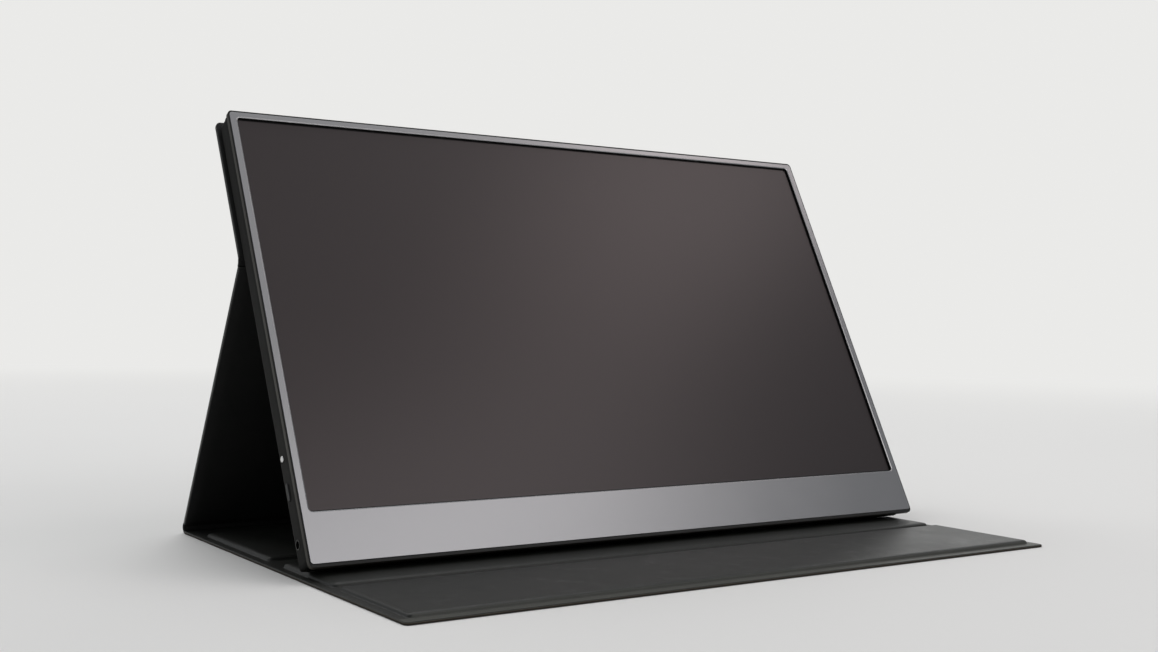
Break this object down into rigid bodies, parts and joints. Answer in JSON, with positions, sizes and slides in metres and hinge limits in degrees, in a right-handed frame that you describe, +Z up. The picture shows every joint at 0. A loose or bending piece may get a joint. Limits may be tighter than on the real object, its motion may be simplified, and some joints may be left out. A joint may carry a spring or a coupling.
{
  "type": "portable monitor with folio cover",
  "caption": "Slim portable monitor standing tilted back on its folding leather folio cover, with side controls and sockets.",
  "frame": {"origin": "centre of the bounding box at the table surface, with the monitor standing open on its cover", "axes": "+X along the screen's width to the viewer's right, +Y from the viewer to the back, +Z up"},
  "size_m": [0.3558, 0.2448, 0.2057],
  "materials": {
    "face_metal": "satin, bead blasted",
    "frame_plastic": "matt",
    "shell_plastic": "fine matt texture",
    "gasket_foam": "matt",
    "screen_surface": "anti-glare",
    "panel_glass": "polished",
    "film": "satin",
    "acrylic": "clear",
    "led_strip": "matt",
    "sheet_metal": "plain rolled",
    "circuit_board": "solder mask",
    "flex_copper": "satin film",
    "chip_black": "moulded",
    "socket_metal": "plated",
    "switch_plastic": "moulded",
    "button_metal": "turned",
    "rocker_plastic": "satin",
    "speaker_plastic": "moulded",
    "screw_steel": "plated",
    "magnet": "nickel plated",
    "leather_outer": "fine grained, matt",
    "cover_board": "pressed board",
    "lining_back": "smooth, matt",
    "lining_front": "fine grained, matt"
  },
  "bodies": {
    "base": {"base_skin": "leather_outer", "spine_board": "cover_board", "base_board_rear": "cover_board", "base_board_mid": "cover_board", "base_lining": "lining_front", "base_magnets": "magnet", "rear_crease": "leather_outer", "flap_crease": "leather_outer"},
    "flap": {"flap_skin": "leather_outer", "flap_board": "cover_board", "flap_lining": "lining_front"},
    "leg": {"leg_skin": "leather_outer", "leg_board": "cover_board", "leg_lining": "lining_back"},
    "back_panel": {"back_skin": "leather_outer", "back_board": "cover_board", "back_lining": "lining_back", "back_magnets": "magnet", "back_crease": "leather_outer"},
    "power_button": {"power_button": "button_metal"},
    "menu_rocker": {"menu_rocker": "rocker_plastic"},
    "monitor": {"front_plate": "face_metal", "mid_frame": "frame_plastic", "rear_shell": "shell_plastic", "screen_gasket": "gasket_foam", "front_polariser": "screen_surface", "lcd_glass": "panel_glass", "optical_films": "film", "light_guide": "acrylic", "led_bar": "led_strip", "reflector_film": "film", "backlight_tray": "sheet_metal", "driver_board": "circuit_board", "display_flex": "flex_copper", "main_board": "circuit_board", "board_chips": "chip_black", "board_shield": "sheet_metal", "usb_sockets": "socket_metal", "hdmi_socket": "socket_metal", "audio_jack": "socket_metal", "control_board": "circuit_board", "tact_switches": "switch_plastic", "speakers": "speaker_plastic", "frame_screws": "screw_steel", "board_screws": "screw_steel", "shell_magnets": "magnet"}
  },
  "joints": [
    {"name": "leg_fold", "type": "hinge", "parent": "base", "child": "leg", "pos_m": [0, 0.12038, 0.002], "axis": [-1, 0, 0], "range_deg": [0, 28.32]},
    {"name": "back_fold", "type": "hinge", "parent": "leg", "child": "back_panel", "pos_m": [0, 0.04753, 0.1345], "axis": [1, 0, 0], "range_deg": [0, 55.5]},
    {"name": "monitor_lift", "type": "slide", "parent": "back_panel", "child": "monitor", "axis": [0, 0.4602, 0.8878], "range_m": [0, 0.08]},
    {"name": "flap_fold", "type": "hinge", "parent": "base", "child": "flap", "pos_m": [0, -0.05138, 0.0008], "axis": [-1, 0, 0], "range_deg": [0, 110]},
    {"name": "power_press", "type": "slide", "parent": "monitor", "child": "power_button", "axis": [1, 0, 0], "range_m": [0, 0.0006], "stiffness_N_per_m": 800},
    {"name": "menu_tilt", "type": "hinge", "parent": "monitor", "child": "menu_rocker", "pos_m": [-0.17443, -0.01125, 0.03543], "axis": [0, 0.8878, -0.4602], "range_deg": [-3, 3], "stiffness_Nm_per_rad": 0.05}
  ],
  "couplings": [
    {"joint": "back_fold", "follows": "leg_fold", "ratio": 1.96}
  ]
}
